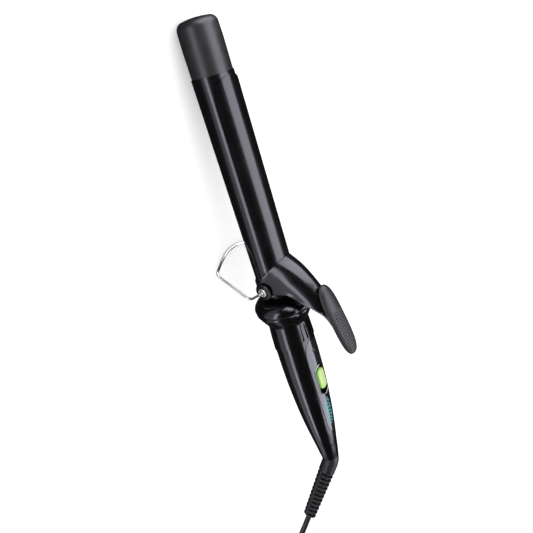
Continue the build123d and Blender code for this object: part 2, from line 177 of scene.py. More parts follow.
def addStage():
    half = room["paperHalf"]
    corners = [(-half, -half, 0), (half, -half, 0), (half, half, 0), (-half, half, 0)]
    data = bpy.data.meshes.new("floor")
    data.from_pydata(corners, [], [(0, 1, 2, 3)])
    floor = bpy.data.objects.new("floor", data)
    bpy.context.scene.collection.objects.link(floor)
    data.materials.append(flaggedPaper())
    for name, lamp in lamps.items():
        addLamp(name, **lamp)
    world = bpy.data.worlds.new("studio")
    bpy.context.scene.world = world
    world.use_nodes = True
    ray = addNode(world, "ShaderNodeLightPath")
    level = addNode(
        world,
        "ShaderNodeMapRange",
        {"To Min": room["white"], "To Max": room["flagged"]},
        {"Value": (ray, "Is Glossy Ray")},
    )
    sky = world.node_tree.nodes["Background"]
    sky.inputs["Color"].default_value = (1, 1, 1, 1)
    world.node_tree.links.new(level.outputs["Result"], sky.inputs["Strength"])
    bpy.context.scene.view_settings.view_transform = "Standard"


def addNode(owner, kind, settings=None, links=None):
    # One shader node of a material or the world: settings are its properties or sockets,
    # links are socket -> (node, output).
    node = owner.node_tree.nodes.new(kind)
    for key, value in (settings or {}).items():
        if isinstance(key, str) and hasattr(node, key) and key not in node.inputs:
            setattr(node, key, value)
        else:
            node.inputs[key].default_value = value
    for key, (source, output) in (links or {}).items():
        owner.node_tree.links.new(source.outputs[output], node.inputs[key])
    return node


def material(name, colour, rough=0.5, metal=0.0, ior=1.5, specular=0.5, coat=0.0, coatRough=0.1):
    # A plain surface that the finishes below add to; a metal keeps the default IOR.
    mat = bpy.data.materials.new(name)
    mat.use_nodes = True
    skin = mat.node_tree.nodes["Principled BSDF"]
    skin.inputs["Base Color"].default_value = linear(colour)
    skin.inputs["Roughness"].default_value = rough
    skin.inputs["Metallic"].default_value = metal
    skin.inputs["Specular IOR Level"].default_value = specular
    skin.inputs["Coat Weight"].default_value = coat
    skin.inputs["Coat Roughness"].default_value = coatRough
    if metal == 0:
        skin.inputs["IOR"].default_value = ior
    return mat


def grain(mat, sizeMm, depthMm, detail=3.0):
    # Fine moulded or sprayed texture: noise whose grains are sizeMm across, as a bump depthMm deep.
    where = addNode(mat, "ShaderNodeTexCoord")
    noise = addNode(
        mat,
        "ShaderNodeTexNoise",
        {"Scale": 1 / (sizeMm * mm), "Detail": detail},
        {"Vector": (where, "Object")},
    )
    bump = addNode(
        mat,
        "ShaderNodeBump",
        {"Strength": 1.0, "Distance": depthMm * mm},
        {"Height": (noise, "Fac")},
    )
    skin = mat.node_tree.nodes["Principled BSDF"]
    mat.node_tree.links.new(bump.outputs["Normal"], skin.inputs["Normal"])


def mottle(mat, sizeMm, low, high, darker=None, lighter=None):
    # Handling marks: slow noise that shifts roughness from low to high, and colour too if two
    # are given.
    where = addNode(mat, "ShaderNodeTexCoord")
    noise = addNode(
        mat,
        "ShaderNodeTexNoise",
        {"Scale": 1 / (sizeMm * mm), "Detail": 5.0},
        {"Vector": (where, "Object")},
    )
    # The noise keeps mostly between 0.3 and 0.7.
    span = addNode(
        mat,
        "ShaderNodeMapRange",
        {"From Min": 0.3, "From Max": 0.7, "To Min": low, "To Max": high},
        {"Value": (noise, "Fac")},
    )
    skin = mat.node_tree.nodes["Principled BSDF"]
    mat.node_tree.links.new(span.outputs["Result"], skin.inputs["Roughness"])
    if darker:
        shades = addNode(
            mat,
            "ShaderNodeMix",
            {"data_type": "RGBA", 6: linear(darker), 7: linear(lighter)},
            {0: (noise, "Fac")},
        )
        mat.node_tree.links.new(shades.outputs[2], skin.inputs["Base Color"])


def tintWhere(mat, attribute, colour):
    # Turns the material's colour to another one where the mesh attribute goes to 1.
    skin = mat.node_tree.nodes["Principled BSDF"]
    plain = skin.inputs["Base Color"].links[0].from_node
    share = addNode(mat, "ShaderNodeAttribute", {"attribute_name": attribute})
    tinted = addNode(
        mat,
        "ShaderNodeMix",
        {"data_type": "RGBA", 7: linear(colour)},
        {0: (share, "Fac"), 6: (plain, 2)},
    )
    mat.node_tree.links.new(tinted.outputs[2], skin.inputs["Base Color"])


def enamel():
    # Ceramic-look stoved coating on steel: near black, hard and glossy, with faint orange peel.
    mat = material(
        "stoved ceramic enamel", "#060607", rough=0.24, ior=1.55, coat=0.6, coatRough=0.12
    )
    mottle(mat, 22, 0.2, 0.3)
    grain(mat, 1.4, 0.0012)
    return mat


def glossAbs():
    # Injection-moulded ABS from a polished tool: black, glossy, with slight sink and finger haze.
    mat = material("polished black ABS", "#060607", rough=0.18, ior=1.54, coat=0.5, coatRough=0.1)
    mottle(mat, 16, 0.15, 0.26)
    grain(mat, 2.5, 0.0018)
    return mat


def charcoalTip():
    # Glass-filled nylon from a spark-eroded tool: charcoal and matte, it scatters light evenly.
    mat = material("spark-eroded charcoal nylon", "#1f1e21", rough=0.4, ior=1.53, specular=0.75)
    mottle(mat, 9, 0.36, 0.44, "#1d1c1f", "#232224")
    grain(mat, 0.35, 0.012, detail=2.0)
    return mat


def darkNylon():
    # Moulded nylon as it leaves a plain tool: black, with a satin sheen that fades in patches.
    mat = material("satin black nylon", "#17171a", rough=0.4, ior=1.53)
    mottle(mat, 8, 0.33, 0.46)
    grain(mat, 0.4, 0.008)
    return mat


def softTouch():
    # Rubbery paint on the thumb pad: dark grey and matte, with painted shade darkening the grip dimples.
    mat = material("soft-touch paint", "#272627", rough=0.42, ior=1.48, specular=0.65)
    mottle(mat, 7, 0.38, 0.46, "#242324", "#2a2929")
    grain(mat, 0.25, 0.01, detail=2.0)
    # Painted shade: the colour goes near black where the dimples' pit share rises.
    tintWhere(mat, "pitAndShade", "#050505")
    return mat


def chrome():
    # Bright chrome plate over drawn wire: a mirror with a light haze that scatters some light.
    mat = material("chrome plate", "#f4f1ea", rough=0.1, metal=0.93)
    mottle(mat, 3, 0.07, 0.15)
    return mat


def blackSteel():
    # Pressed steel in black oxide: dark, half metallic, with an oily, uneven sheen.
    mat = material("black oxide steel", "#232427", rough=0.32, metal=0.6)
    mottle(mat, 5, 0.26, 0.42)
    grain(mat, 0.6, 0.004)
    return mat


def springSteel():
    # Rolled strip, bare: grey metal with a soft, slightly clouded shine.
    mat = material("spring steel strip", "#8c8d90", rough=0.3, metal=1.0)
    mottle(mat, 4, 0.24, 0.38)
    return mat


def extrudedAluminium():
    # Extruded aluminium, unpolished: pale metal that spreads its highlights.
    mat = material("extruded aluminium", "#b4b6b9", rough=0.36, metal=1.0)
    mottle(mat, 6, 0.3, 0.44)
    return mat


def firedCeramic():
    # Fired alumina: off-white and dull, with a fine sandy grain.
    mat = material("fired alumina", "#e6e0d2", rough=0.5)
    grain(mat, 0.3, 0.01)
    return mat


def amberFilm():
    # Polyimide film: clear amber with a sharp shine that wrinkling breaks up.
    mat = material("polyimide film", "#b5741c", rough=0.25)
    mottle(mat, 6, 0.2, 0.34)
    return mat


def turnedBrass():
    # Turned brass: warm yellow metal with small changes of shine from the tool.
    mat = material("turned brass", "#c6a15a", rough=0.24, metal=1.0)
    mottle(mat, 2, 0.18, 0.32)
    return mat


def componentBody():
    # Moulded epoxy: charcoal and dull, with a fine grain.
    mat = material("moulded epoxy components", "#35353a", rough=0.45)
    grain(mat, 0.2, 0.006)
    return mat


def siliconeLead():
    # Silicone rubber cover: pale grey, dull and faintly dusty.
    mat = material("silicone rubber lead", "#cfcfca", rough=0.55)
    grain(mat, 0.3, 0.01)
    return mat


def boardGreen():
    # Lacquered glass-epoxy board: green with the weave just felt under the gloss.
    mat = material("glass-epoxy board", "#1c5a36", rough=0.35)
    grain(mat, 0.5, 0.008)
    return mat


def inlayGrey():
    # Gloss film over a printed dark grey: the control strip, a shade lighter than the handle.
    mat = material("gloss control strip", "#1d1e22", rough=0.15, ior=1.5, coat=1.0, coatRough=0.07)
    mottle(mat, 12, 0.12, 0.24)
    return mat


def limeAcetal():
    # Acetal moulding in lime: slightly translucent, with a soft sheen and a fine eroded texture,
    # and a deeper green painted at its rim as the shade of its rounded edge.
    mat = material("lime acetal", "#bfd48a", rough=0.42, ior=1.48)
    mottle(mat, 1.2, 0.36, 0.5, "#b8cf80", "#c6da94")
    grain(mat, 0.5, 0.03)
    # Painted shade: deeper green where the rim share rises.
    tintWhere(mat, "rim", "#6fbb33")
    skin = mat.node_tree.nodes["Principled BSDF"]
    skin.inputs["Subsurface Weight"].default_value = 0.12
    skin.inputs["Subsurface Radius"].default_value = (1.2 * mm, 1.4 * mm, 0.6 * mm)
    return mat


def lampLens():
    # Polished acrylic: deep red and dark when it is off, with a small sharp highlight.
    mat = material("red acrylic lens", "#3a100d", rough=0.18, ior=1.49, coat=1.0, coatRough=0.05)
    mottle(mat, 1.5, 0.14, 0.24)
    return mat


def cordRubber():
    # Extruded flexible PVC: black and satin, with a faint uneven skin.
    mat = material("extruded black PVC", "#141416", rough=0.42, ior=1.52)
    mottle(mat, 6, 0.36, 0.5)
    grain(mat, 0.5, 0.01)
    return mat


def nickelBlade():
    # Nickel plate over stamped brass: warm white metal, rubbed duller in places.
    mat = material("nickel-plated brass", "#c9c3b3", rough=0.22, metal=1.0)
    mottle(mat, 2, 0.16, 0.3)
    return mat


def whitePrint():
    # Pad print: thin white ink, flat and slightly uneven.
    mat = material("white pad print", "#e9e9ea", rough=0.5)
    grain(mat, 0.3, 0.004)
    return mat


def turquoisePrint():
    # Pad print: thin turquoise ink, flat and slightly uneven.
    mat = material("turquoise pad print", "#46bec8", rough=0.5)
    grain(mat, 0.3, 0.004)
    return mat


finishes = dict(
    charcoal_plastic=charcoalTip,
    black_enamel=enamel,
    gloss_black=glossAbs,
    dark_plastic=darkNylon,
    pad_grey=softTouch,
    chrome=chrome,
    black_steel=blackSteel,
    spring_steel=springSteel,
    aluminium=extrudedAluminium,
    ceramic=firedCeramic,
    film=amberFilm,
    brass=turnedBrass,
    component=componentBody,
    lead_wire=siliconeLead,
    board=boardGreen,
    inlay_black=inlayGrey,
    lime=limeAcetal,
    lens_red=lampLens,
    cord_rubber=cordRubber,
    blade_metal=nickelBlade,
)
made = {slotName: make() for slotName, make in finishes.items()}
made["print"] = whitePrint()
made["turquoise"] = turquoisePrint()


def dressNodes():
    # Every CAD node takes the finish of its slot in the record.
    for part in frame["record"]["subparts"]:
        node = frame["nodes"][part["node"]]
        node.data.materials.clear()
        node.data.materials.append(made[part["material_slot"]])


def meshPiece(name, body, slotName, points, faces, smooth=True, mat=None):
    # A mesh of points in metres and faces, riding on a body. It takes the slot's finish, unless
    # one is given.
    data = bpy.data.meshes.new(name)
    corners = np.asarray(points, float).reshape(-1, 3)
    data.from_pydata(corners.tolist(), [], faces.tolist())
    data.polygons.foreach_set("use_smooth", np.full(len(data.polygons), smooth))
    data.materials.append(mat or made[slotName])
    piece = bpy.data.objects.new(name, data)
    bpy.context.scene.collection.objects.link(piece)
    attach(piece, body)
    return piece


def gridFaces(rows, columns, wrapColumns=False, start=0, turned=False):
    # Quads of a rows x columns grid of points, numbered row by row.
    across = columns if wrapColumns else columns - 1
    r = np.arange(rows - 1)[:, None]
    c = np.arange(across)[None, :]
    after = (c + 1) % columns
    here, there = r * columns, (r + 1) * columns
    quads = np.stack([here + c, here + after, there + after, there + c], -1)
    quads = quads.reshape(-1, 4) + start
    return quads[:, ::-1] if turned else quads


def paint(piece, attribute, values):
    # A number on each point, which the piece's material can read.
    layer = piece.data.attributes.new(attribute, "FLOAT", "POINT")
    layer.data.foreach_set("value", values.ravel().astype(np.float32))


def closeUp(piece, gapMm):
    # Merges points that meet at seams and poles, and turns every face outwards.
    work = bmesh.new()
    work.from_mesh(piece.data)
    bmesh.ops.remove_doubles(work, verts=work.verts, dist=gapMm * mm)
    bmesh.ops.recalc_face_normals(work, faces=work.faces)
    work.to_mesh(piece.data)
    work.free()


# The cord, in mm of the resting frame: its lead to the coil, the coil's turns, its tail to the plug.
cordSettings = dict(
    thick=5.6,
    length=1.75,  # in metres, as such an iron's usually is
    coilCentre=(-440.8, 24.0),
    coilR=31.0,
    bundleR=11.1,  # height of the bundle's middle
    strandR=8.3,  # how far a strand's line lies from it
    turns=8,
    stepsPerTurn=20,
    firstTurn=90.0,  # degrees round the coil
    firstAngle=-45.0,  # degrees round the bundle
    sweep=-315.0,
    sides=5,
)
leadRoute = [
    (-256.4, 35.9, 64.0),
    (-274.0, 48.2, 60.6),
    (-295.5, 58.0, 53.2),
    (-319.5, 64.8, 41.6),
    (-345.0, 68.4, 26.6),
    (-370.5, 69.6, 12.6),
    (-394.5, 68.6, 4.4),
    (-417.8, 65.2, 3.3),
    (-440.8, 60.9, 5.2),
]
tailRoute = [(-440.8, 63.3, 11.1), (-462.8, 63.2, 10.6), (-482.8, 61.0, 9.4)]


def coilPoints():
    # A strand that goes round a ring while it creeps round the bundle's own circle.
    s = cordSettings
    count = s["turns"] * s["stepsPerTurn"]
    share = np.arange(1, count) / count
    turn = np.radians(s["firstTurn"] + 360 * s["turns"] * share)
    roll = np.radians(s["firstAngle"] + s["sweep"] * share)
    r = s["coilR"] + s["strandR"] * np.cos(roll)
    x = s["coilCentre"][0] + r * np.cos(turn)
    y = s["coilCentre"][1] + r * np.sin(turn)
    z = s["bundleR"] + s["strandR"] * np.sin(roll)
    return np.stack([x, y, z], -1)


reliefSettings = dict(
    start=-200.4,
    r=8.2,
    endR=6.4,
    straight=0.5,
    bendR=14.0,
    bend=39.0,  # degrees
    roll=64.5,  # which way it bends, in degrees round the handle
    ribbed=59.0,  # from the bend's end to the mouth
    plain=8.0,
    ribs=11,
    lastRib=1.0,
    slotDepth=2.8,
    slotFrom=0.36,  # share of a rib's pitch
    slotTo=0.88,
    slotWall=26,  # steepness
    allRound=0.25,  # how much of a slot shows on the spines too
    spine=0.15,  # radians
    flankFrom=0.5,
    flankWall=14,
    mouthR=0.8,
    plainRows=90,
    ribbedRows=330,
    columns=72,
)


def smoothRise(t, at, steepness):
    # The logistic curve, from 0 to 1 around t = at.
    return 1 / (1 + np.exp(-steepness * (t - at)))


def reliefFrames(distance):
    # Centre and the two cross directions at a distance along the relief: a short straight,
    # an arc, then a straight.
    s = reliefSettings
    roll = math.radians(s["roll"])
    side = np.array([0, math.sin(roll), -math.cos(roll)])
    arcLength = s["bendR"] * math.radians(s["bend"])
    turn = np.clip(distance - s["straight"], 0, arcLength) / s["bendR"]
    rest = np.maximum(distance - s["straight"] - arcLength, 0)
    ahead = np.minimum(distance, s["straight"]) + s["bendR"] * np.sin(turn) + rest * np.cos(turn)
    aside = s["bendR"] * (1 - np.cos(turn)) + rest * np.sin(turn)
    centre = np.array([s["start"], 0, 0]) + np.outer(ahead, [-1, 0, 0]) + np.outer(aside, side)
    outward = np.outer(np.sin(turn), [1, 0, 0]) + np.outer(np.cos(turn), side)
    flat = np.cross([-1, 0, 0], side)
    return centre, outward, np.broadcast_to(flat, outward.shape)


def addRelief():
    # A round section carried along the bend. Radius tapers evenly, less slots with steep smooth walls
    # that are deep on two flanks and fade away at the two spines that run the length of it.
    s = reliefSettings
    ribsFrom = s["straight"] + s["bendR"] * math.radians(s["bend"]) + s["plain"]
    ribsOver = s["ribbed"] - s["plain"]
    plainPart = np.linspace(0, ribsFrom, s["plainRows"])
    d = np.concatenate([plainPart, np.linspace(ribsFrom, ribsFrom + ribsOver, s["ribbedRows"])])
    along = d - ribsFrom
    cell = (ribsOver - s["lastRib"]) / s["ribs"]
    r = s["r"] - (s["r"] - s["endR"]) * np.clip(along / ribsOver, 0, 1)
    phase = np.mod(along / cell, 1.0)
    opens = smoothRise(phase, s["slotFrom"], s["slotWall"])
    closes = smoothRise(phase, s["slotTo"], s["slotWall"])
    slot = np.where((along > 0) & (along < cell * s["ribs"]), opens - closes, 0)[:, None]
    end = np.clip((d[-1] - d) / s["mouthR"], 0, 1)
    r = r - s["mouthR"] * (1 - np.sqrt(1 - (1 - end) ** 2))
    angle = np.linspace(0, 2 * np.pi, s["columns"], endpoint=False)
    flank = smoothRise(np.abs(np.sin(angle - s["spine"])), s["flankFrom"], s["flankWall"])
    radius = (r[:, None] - s["slotDepth"] * slot * flank - s["allRound"] * slot)[..., None]
    centre, outward, flat = reliefFrames(d)
    c, q = np.cos(angle)[:, None], np.sin(angle)[:, None]
    skin = centre[:, None] + radius * (c * outward[:, None] + q * flat[:, None])
    mouth = centre[-1] + (skin[-1] - centre[-1]) * 0.5
    first = np.broadcast_to(centre[0], skin[0].shape)
    last = np.broadcast_to(centre[-1], skin[0].shape)
    whole = np.concatenate([first[None], skin, mouth[None], last[None]])
    faces = gridFaces(whole.shape[0], s["columns"], True)
    relief = meshPiece("strainRelief", "cord", "cord_rubber", place(whole), faces)
    closeUp(relief, 0.002)
    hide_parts("strain_relief")
    return relief


plugSettings = dict(
    back=(-481.8, 61.0, 9.4),
    length=43.0,
    width=12.4,
    height=8.4,
    neckR=4.4,
    neckGrow=0.28 / 0.3,  # share of its radius over the whole length
    swellFrom=0.2,  # shares of the length
    swellOver=0.22,
    waist=0.1,
    waistAt=0.62,
    waistOver=0.13,
    noseR=1.6,
    squareness=1.4,
    grips=6,
    gripFrom=0.5,
    gripOver=0.36,
    gripDepth=0.9,
    rows=260,
    columns=72,
)


def addPlug():
    # Sections are superellipses |y/w|^n + |z/h|^n = 1. Width and height swell from the neck by a
    # smooth step, the width pulls in at a waist, and six grip grooves are raised-cosine dips on the
    # two narrow sides.
    s = plugSettings
    t = np.linspace(0, 1, s["rows"])
    d = t * s["length"]
    swell = np.clip((t - s["swellFrom"]) / s["swellOver"], 0, 1)
    swell = swell * swell * (3 - 2 * swell)
    toNose = np.clip((d - s["length"] + s["noseR"]) / s["noseR"], 0, 1)
    pullIn = s["noseR"] * (1 - np.sqrt(1 - toNose**2))
    waist = 1 - s["waist"] * np.exp(-(((t - s["waistAt"]) / s["waistOver"]) ** 2))
    neck = s["neckR"] * (1 + s["neckGrow"] * t)
    half = (neck + (s["width"] - neck) * swell) * waist - pullIn
    high = neck + (s["height"] - neck) * swell - pullIn
    power = 2 / (2 + s["squareness"] * swell)[:, None]
    angle = np.linspace(0, 2 * np.pi, s["columns"], endpoint=False)[None, :]
    c, q = np.cos(angle), np.sin(angle)
    y = half[:, None] * np.sign(c) * np.abs(c) ** power
    z = high[:, None] * np.sign(q) * np.abs(q) ** power
    along = (t - s["gripFrom"]) / s["gripOver"]
    wave = 0.5 - 0.5 * np.cos(2 * np.pi * along * s["grips"])
    grip = np.where((along > 0) & (along < 1), wave, 0)
    y = y * (1 - s["gripDepth"] / s["width"] * grip[:, None] * np.abs(c) ** 0.5)
    x0, y0, z0 = s["back"]
    points = np.stack([x0 - d[:, None] + 0 * y, y0 + y, z0 + z], -1)
    back = np.broadcast_to([[x0, y0, z0]], (1, s["columns"], 3))
    front = np.broadcast_to([[x0 - s["length"], y0, z0]], (1, s["columns"], 3))
    points = np.concatenate([back, points, front]) * mm
    faces = gridFaces(s["rows"] + 2, s["columns"], True)
    plug = meshPiece("mainsPlug", "cord", "cord_rubber", points, faces)
    closeUp(plug, 0.002)
    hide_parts("plug_body")
    return plug


tieSettings = dict(
    at=-70.0,  # degrees round the coil
    halfWidth=6.6,
    thick=0.9,
    cordRidge=0.5,
    openFrom=-52,  # degrees round the bundle
    openTo=232,
    faces=(0.95, 0.1),  # heights of the outer and inner face, in shares of the thickness
    rows=25,
    columns=150,
)


def addTie():
    # A strap round the bundle: its circle is the bundle's, a little proud, dented between the turns
    # by |cos(4 roll)|. It is left open underneath, where the coil rests.
    s, c = tieSettings, cordSettings
    rows, columns = s["rows"], s["columns"]
    across = np.linspace(-1, 1, rows)[:, None]
    roll = np.radians(np.linspace(s["openFrom"], s["openTo"], columns))[None, :]
    edge = (1 - np.abs(across) ** 8) ** 0.5
    base = c["strandR"] + c["thick"] / 2
    dent = s["cordRidge"] * (np.abs(np.cos(4 * roll)) - 1)
    around = s["halfWidth"] * across / c["coilR"] + math.radians(s["at"])
    sheets = []
    for lift, rounding in zip(s["faces"], (edge, 1)):
        r = base + dent * (1 - 0.3 * across**2) + lift * s["thick"] * rounding
        ring = c["coilR"] + r * np.cos(roll)
        x = c["coilCentre"][0] + ring * np.cos(around)
        y = c["coilCentre"][1] + ring * np.sin(around)
        z = c["bundleR"] + r * np.sin(roll) + 0 * around
        sheets.append(np.stack([x, y, z], -1))
    outer, inner = sheets
    rims = [(outer[0], inner[0]), (outer[-1], inner[-1])]
    rims += [(outer[:, 0], inner[:, 0]), (outer[:, -1], inner[:, -1])]
    rim = np.concatenate([np.stack(pair).reshape(-1, 3) for pair in rims])
    size = rows * columns
    faces = [gridFaces(rows, columns), gridFaces(rows, columns, start=size, turned=True)]
    first = 2 * size
    for count in (columns, columns, rows, rows):
        faces.append(gridFaces(2, count, start=first))
        first += 2 * count
    points = np.concatenate([outer.reshape(-1, 3), inner.reshape(-1, 3), rim]) * mm
    tie = meshPiece("cordTie", "cord", "cord_rubber", points, np.concatenate(faces))
    closeUp(tie, 0.001)
    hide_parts("cord_tie")
    return tie


def addCord():
    # One smooth spline of round section, with the route's and the coil's points as control points.
    s = cordSettings
    points = np.concatenate([leadRoute, coilPoints(), tailRoute]) * mm
    data = bpy.data.curves.new("supplyCord", "CURVE")
    data.dimensions = "3D"
    line = data.splines.new("NURBS")
    line.points.add(len(points) - 1)
    line.points.foreach_set("co", np.column_stack([points, np.ones(len(points))]).ravel())
    line.order_u = 3
    line.use_endpoint_u = True
    line.resolution_u = 6
    data.bevel_depth = s["thick"] / 2 * mm
    data.bevel_resolution = s["sides"]
    data.use_fill_caps = True
    data.materials.append(made["cord_rubber"])
    cord = bpy.data.objects.new("supplyCord", data)
    bpy.context.scene.collection.objects.link(cord)
    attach(cord, "cord")
    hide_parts("cord_lead", "cord_coil", "cord_tail")
    withPieces = [addRelief(), addPlug(), addTie(), frame["nodes"]["plug_blades"]]
    return cord


# Stations from the crease at the barrel to under the pad: ridge (x, z), crown edge and lower edge
# (x, y, z), and how many degrees of a round arc the crown takes there.
leverStations = [
    ((24.6, 17.25), (18.3, 14.7, 8.9), (14.6, 17.3, 4.2), 60),
    ((21.2, 22.2), (14.2, 15.0, 11.2), (9.8, 17.9, -0.6), 68),
    ((17.2, 27.2), (9.8, 14.9, 13.8), (5.2, 18.2, -4.4), 76),
    ((12.6, 31.8), (6.0, 14.6, 16.2), (-1.6, 18.2, -5.0), 80),
    ((7.6, 35.9), (3.0, 14.2, 18.4), (-4.9, 18.1, -0.6), 80),
    ((2.2, 39.8), (0.0, 13.6, 21.4), (-3.2, 17.3, 8.0), 80),
    ((-3.4, 43.4), (-3.4, 12.9, 25.4), (-2.8, 14.9, 19.4), 78),
    ((-9.0, 46.6), (-7.4, 12.0, 30.4), (-6.8, 13.5, 26.8), 74),
    ((-15.0, 49.1), (-12.4, 11.0, 36.6), (-12.0, 12.1, 33.2), 68),
    ((-21.4, 51.0), (-18.2, 9.6, 43.6), (-17.9, 10.2, 41.0), 58),
    ((-28.0, 52.6), (-24.8, 8.2, 50.2), (-24.6, 8.6, 48.4), 45),
    ((-41.0, 55.7), (-39.0, 6.4, 54.9), (-39.0, 6.6, 53.8), 35),
    ((-53.0, 58.6), (-52.4, 3.2, 58.2), (-52.4, 3.4, 57.4), 30),
]
leverSettings = dict(sheet=1.0, acrossCrown=30, acrossWall=12, wallCrowding=1.8, along=120)


def smoothThrough(rows, count):
    # Catmull-Rom curve through the rows, resampled evenly by station number.
    rows = np.asarray(rows, float)
    padded = np.vstack([2 * rows[0] - rows[1], rows, 2 * rows[-1] - rows[-2]])
    t = np.linspace(0, len(rows) - 1, count)
    i = np.minimum(t.astype(int), len(rows) - 2)
    f = (t - i)[:, None]
    a, b, c, d = padded[i], padded[i + 1], padded[i + 2], padded[i + 3]
    curve = 2 * b + (c - a) * f
    curve = curve + (2 * a - 5 * b + 4 * c - d) * f**2 + (3 * b - a - 3 * c + d) * f**3
    return 0.5 * curve


def addLever():
    # Across each station: an arc of so many degrees, stretched from ridge to crown edge, then a
    # straight wall down to the lower edge. Points crowd at the crown edge, so its bend stays tight.
    s = leverSettings
    count = s["along"]
    ridges, edges, lowers, arcs = zip(*leverStations)
    ridge = smoothThrough([(x, 0.0, z) for x, z in ridges], count)
    edge = smoothThrough(edges, count)
    lower = smoothThrough(lowers, count)
    arc = np.radians(smoothThrough([(degrees,) for degrees in arcs], count))
    share = np.sin(np.linspace(0, np.pi / 2, s["acrossCrown"]))[None, :]
    angle = arc * share
    outward = np.sin(angle) / np.sin(arc)
    down = (1 - np.cos(angle)) / (1 - np.cos(arc))
    top = ridge[:, None] + (edge - ridge)[:, None] * down[..., None]
    top[..., 1] = edge[:, None, 1] * outward
    wall = (np.linspace(0, 1, s["acrossWall"] + 1)[1:] ** s["wallCrowding"])[None, :, None]
    side = edge[:, None] + (lower - edge)[:, None] * wall
    half = np.concatenate([top, side], axis=1)
    mirrored = half[:, :0:-1] * np.array([1, -1, 1])
    whole = np.concatenate([mirrored, half], axis=1)
    faces = gridFaces(whole.shape[0], whole.shape[1])
    lever = meshPiece("clipLever", "clip", "black_enamel", place(whole), faces)
    skin = lever.modifiers.new("sheet", "SOLIDIFY")
    skin.thickness = s["sheet"] * mm
    skin.offset = -1
    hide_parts("clip_lever")
    return lever


padSettings = dict(
    length=64.0,
    halfWidth=9.4,
    thick=4.6,
    belly=1.6,
    planEnds=3.4,
    planRound=2.3,
    sideRound=3.2,
    endRound=9,
    sideFall=0.34,
    endFall=0.1,
    underEdge=0.45,  # height of its widest line, as a share of the thickness
    middle=(-30.8, 53.4),
    tilt=13.6,  # degrees
    dimplePitch=2.3,
    dimpleR=0.8,
    dimpleDepth=0.95,
    dimpleFrom=-29.0,
    dimpleTo=8.0,
    dimpleRows=5,
    dimpleMargin=1.8,
    rows=260,
    columns=84,
)


def addPad():
    # Plan: a long oval whose half width is W (1 - |a|^planEnds)^(1/planRound), a being the share of
    # its half length. Height: a crown that falls with the squares of a and b, the share of its half
    # width, and rolls over at the edge. Dimples are pits (1 - d^3)^2 on a square lattice.
    s = padSettings
    rows, columns = s["rows"], s["columns"]
    halfLength = s["length"] / 2
    a = np.sin(np.linspace(-1, 1, rows) * np.pi / 2)[:, None]
    b = np.sin(np.linspace(-1, 1, columns) * np.pi / 2)[None, :]
    widest = s["halfWidth"] * (1 - np.abs(a) ** s["planEnds"]) ** (1 / s["planRound"])
    u = a * halfLength + 0 * b
    v = widest * b
    rise = (1 - np.abs(b) ** s["sideRound"]) ** 0.5 * (1 - np.abs(a) ** s["endRound"]) ** 0.5
    crown = s["thick"] * rise * (1 - s["sideFall"] * b**2) * (1 - s["endFall"] * a**2)
    cellU = (u - s["dimpleFrom"]) / s["dimplePitch"]
    cellV = v / s["dimplePitch"]
    nearU = np.round(cellU)
    nearV = np.round(cellV)
    away = np.hypot(cellU - nearU, cellV - nearV) * s["dimplePitch"] / s["dimpleR"]
    inside = (u > s["dimpleFrom"] - 1) & (u < s["dimpleTo"])
    inside = inside & (np.abs(nearV) <= s["dimpleRows"] // 2)
    inside = inside & (np.abs(nearV) * s["dimplePitch"] < widest - s["dimpleMargin"])
    pitAndShade = np.where(inside & (away < 1), (1 - np.clip(away, 0, 1) ** 3) ** 2, 0)
    crown = crown - s["dimpleDepth"] * pitAndShade
    top = np.stack([u, v, crown], -1)
    hollow = s["underEdge"] * s["thick"] * (1 - rise) - s["belly"] * rise
    under = np.stack([u, v, np.minimum(hollow, crown)], -1)
    both = np.concatenate([top.reshape(-1, 3), under.reshape(-1, 3)])
    tilt = math.radians(s["tilt"])
    x = s["middle"][0] + both[:, 0] * math.cos(tilt) + both[:, 2] * math.sin(tilt)
    z = s["middle"][1] + both[:, 2] * math.cos(tilt) - both[:, 0] * math.sin(tilt)
    underFaces = gridFaces(rows, columns, start=rows * columns, turned=True)
    faces = np.concatenate([gridFaces(rows, columns), underFaces])
    pad = meshPiece("thumbPad", "clip", "pad_grey", place(np.stack([x, both[:, 1], z], -1)), faces)
    # Painted shade: the pit share is handed to the material, which darkens the dimples with it.
    paint(pad, "pitAndShade", np.concatenate([pitAndShade.ravel(), 0 * pitAndShade.ravel()]))
    closeUp(pad, 0.02)
    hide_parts("thumb_pad")
    return pad


springSettings = dict(
    front=[(-10.6, 10.9), (-6.4, 10.9), (-11.0, 44.6), (-14.5, 46.8)],
    back=[(-10.6, 11.7), (-7.5, 11.7), (-11.8, 44.2), (-14.9, 46.0)],
    halfWidth=4.5,
    foot=(-8.5, 0, 10.9),
    keep=0.6,  # share of its height left when the clip is wide open
)


def addSpring():
    # A flat steel strip: its front and back outlines joined straight across the width.
    s = springSettings
    h = s["halfWidth"]
    skin = np.array([
        [(fx, h, fz), (fx, -h, fz), (bx, -h, bz), (bx, h, bz)]
        for (fx, fz), (bx, bz) in zip(s["front"], s["back"])
    ])
    caps = np.broadcast_to(skin[[0, -1]].mean(axis=1, keepdims=True), (2, 4, 3))
    whole = np.concatenate([caps[:1], skin, caps[1:]])
    faces = gridFaces(len(whole), 4, True)
    spring = meshPiece("clipSpring", "iron", "spring_steel", place(whole), faces, smooth=False)
    closeUp(spring, 0.002)
    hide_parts("clip_spring")
    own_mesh(spring)
    return spring


buttonSettings = dict(
    front=-88.0,
    rear=-109.8,
    halfWidth=4.65,
    top=19.95,
    foot=15.3,
    edge=1.0,  # radius of its rim
    crown=0.5,
    endSpread=0.22,
    greenFrom=0.86,  # where its face starts to deepen, as a share of the way out
    greenShare=0.55,
    greenRoll=1.2,  # radians
    faceRows=26,
    footRows=4,
    columns=120,
)


